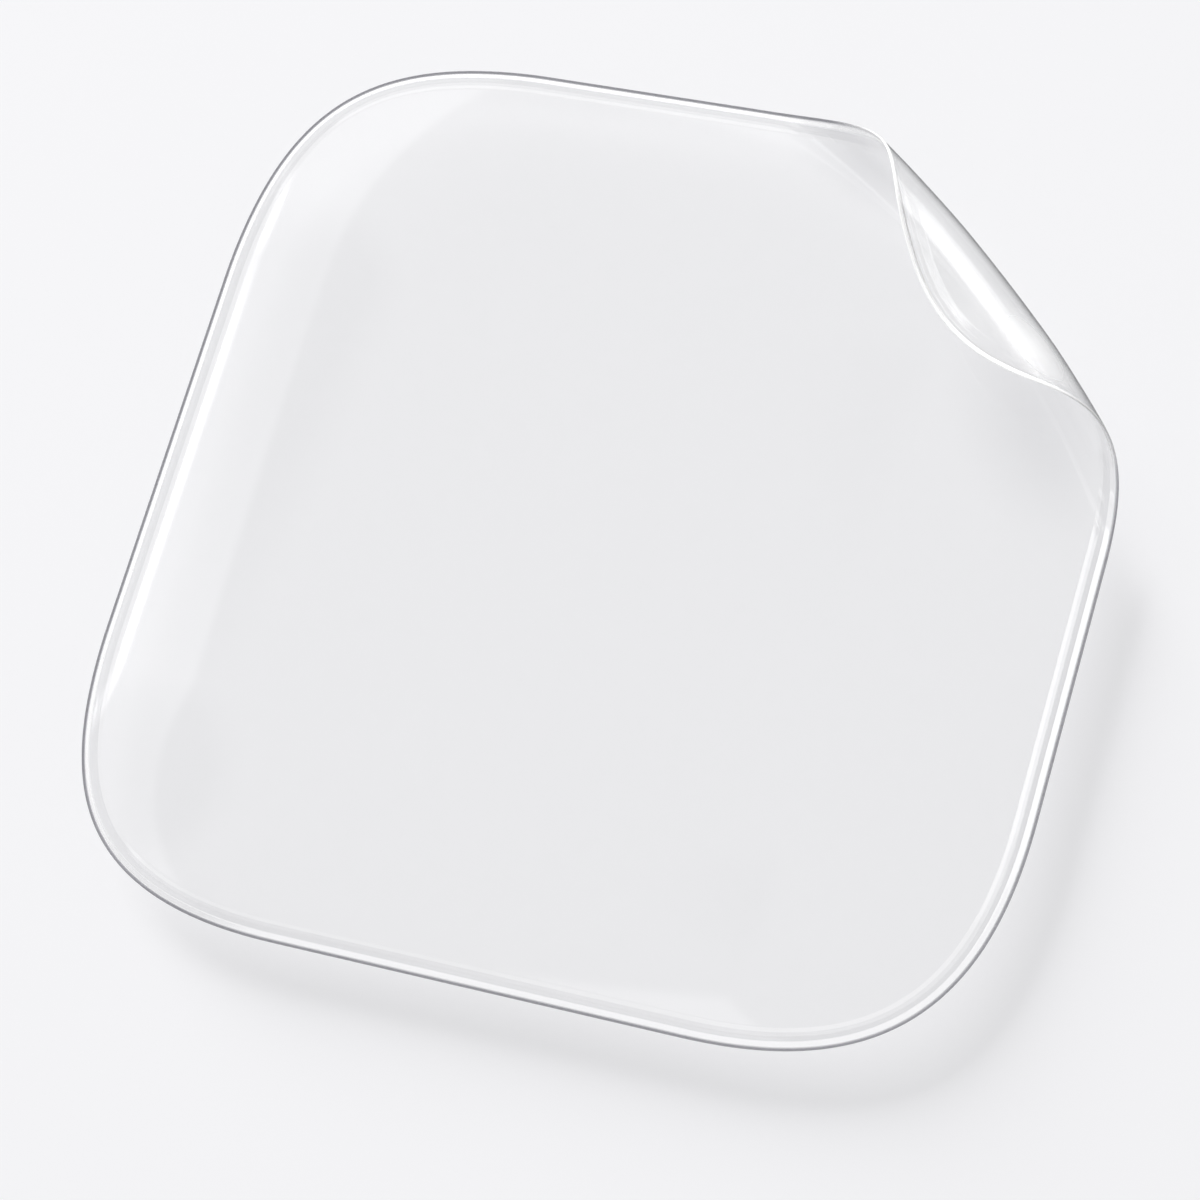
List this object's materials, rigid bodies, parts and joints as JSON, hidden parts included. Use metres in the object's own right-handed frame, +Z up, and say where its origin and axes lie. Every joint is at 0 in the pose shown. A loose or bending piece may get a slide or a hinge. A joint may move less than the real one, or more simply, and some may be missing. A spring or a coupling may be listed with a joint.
{
  "type": "smartwatch screen protector",
  "caption": "Clear flexible film for a square smartwatch screen, soft corners and a bevelled rim, one corner rolled up and over ready to lift.",
  "frame": {"origin": "under the middle of the film, on the floor it lies on", "axes": "+Z up out of the covered side, +X towards the right edge, +Y towards the top edge; the rolled corner is at +X +Y"},
  "size_m": [0.036, 0.0348, 0.0038],
  "materials": {
    "clear_film": "clear TPU film, smooth and glossy on both faces"
  },
  "bodies": {
    "root": {"protector_film": "clear_film"}
  },
  "joints": []
}
